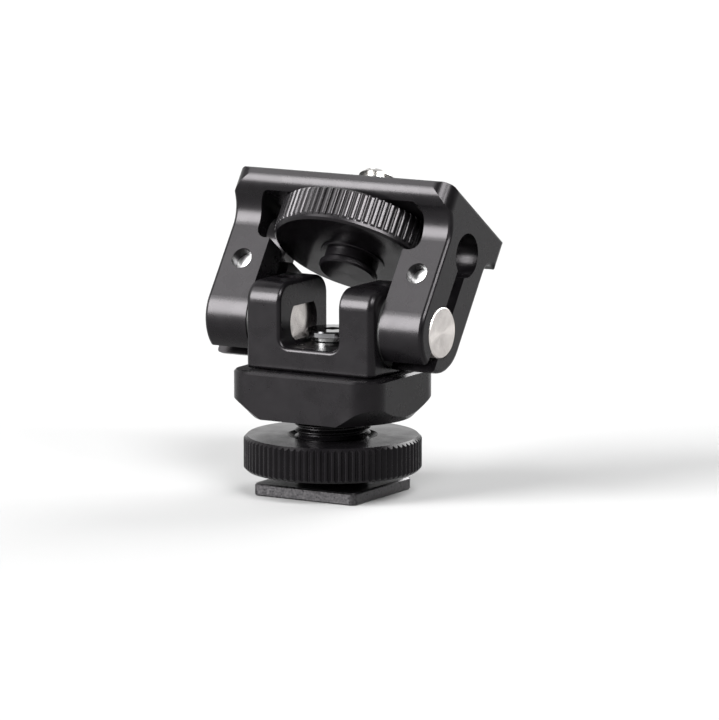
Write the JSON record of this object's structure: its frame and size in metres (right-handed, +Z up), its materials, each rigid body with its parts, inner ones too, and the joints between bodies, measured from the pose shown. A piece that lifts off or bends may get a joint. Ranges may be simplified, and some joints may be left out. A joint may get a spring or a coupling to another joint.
{
  "type": "tilting shoe mount bracket",
  "caption": "Compact shoe-mount bracket: a panning fork carries a tilting black head with a knurled thumb wheel and a tripod stud.",
  "frame": {"origin": "centre of the shoe foot's underside", "axes": "+Z up along the stud, +X along the tilt pins, -Y the front, +Y the way the foot slides in"},
  "size_m": [0.0398, 0.0341, 0.0502],
  "materials": {
    "black_anodised": "sand-blasted, satin black anodised",
    "turned_steel": "turned, passivated stainless steel",
    "black_screw": "black oxide socket screw",
    "polished_chrome": "polished chrome plate",
    "spring_steel": "bright spring steel",
    "foot_steel": "black plated steel",
    "rubber_pad": "fine-grained black rubber",
    "dark_washer": "black acetal"
  },
  "bodies": {
    "shoe_base": {"shoe_foot": "foot_steel", "foot_screws": "black_screw", "threaded_stud": "black_anodised", "base_block": "black_anodised", "pan_washer": "dark_washer"},
    "ring_carrier": {"ring_pad": "rubber_pad"},
    "ring": {"lock_ring": "black_anodised"},
    "pan_pivot": {"pan_screw": "polished_chrome", "disc_springs": "spring_steel"},
    "pan_fork": {"fork": "black_anodised", "pivot_pin_left": "turned_steel", "pivot_pin_right": "turned_steel", "pin_set_screws": "black_screw", "tilt_washer_left": "dark_washer", "tilt_washer_right": "dark_washer"},
    "head": {"tilt_frame": "black_anodised", "platform_pad": "rubber_pad"},
    "clamp_left": {"clamp_screw_left": "turned_steel"},
    "clamp_right": {"clamp_screw_right": "turned_steel"},
    "wheel": {"thumb_wheel": "black_anodised", "tripod_screw": "turned_steel", "retaining_clip": "spring_steel"}
  },
  "joints": [
    {"name": "ring_lift", "type": "slide", "parent": "shoe_base", "child": "ring_carrier", "axis": [0, 0, 1], "range_m": [-0.0016, 0.0031]},
    {"name": "ring_spin", "type": "hinge", "parent": "ring_carrier", "child": "ring", "pos_m": [0, 0, 0.0065], "axis": [0, 0, 1], "range_deg": [-576, 1116]},
    {"name": "pan_screw_turn", "type": "hinge", "parent": "shoe_base", "child": "pan_pivot", "pos_m": [0, 0, 0.022], "axis": [0, 0, 1], "range_deg": [-45, 45]},
    {"name": "pan", "type": "hinge", "parent": "shoe_base", "child": "pan_fork", "pos_m": [0, 0, 0.02], "axis": [0, 0, 1], "range_deg": [-180, 180]},
    {"name": "tilt", "type": "hinge", "parent": "pan_fork", "child": "head", "pos_m": [0, 0, 0.027], "axis": [-1, 0, 0], "range_deg": [-125, 55]},
    {"name": "clamp_left_turn", "type": "hinge", "parent": "head", "child": "clamp_left", "pos_m": [-0.01597, 0.00393, 0.03261], "axis": [0, 0.8192, -0.5736], "range_deg": [-45, 45]},
    {"name": "clamp_right_turn", "type": "hinge", "parent": "head", "child": "clamp_right", "pos_m": [0.01597, 0.00393, 0.03261], "axis": [0, 0.8192, -0.5736], "range_deg": [-45, 45]},
    {"name": "wheel_spin", "type": "hinge", "parent": "head", "child": "wheel", "pos_m": [0, 0.00762, 0.03875], "axis": [0, 0.5736, 0.8192], "continuous": true}
  ],
  "couplings": [
    {"joint": "ring_lift", "follows": "ring_spin", "m_per_rad": 0.00015915}
  ]
}
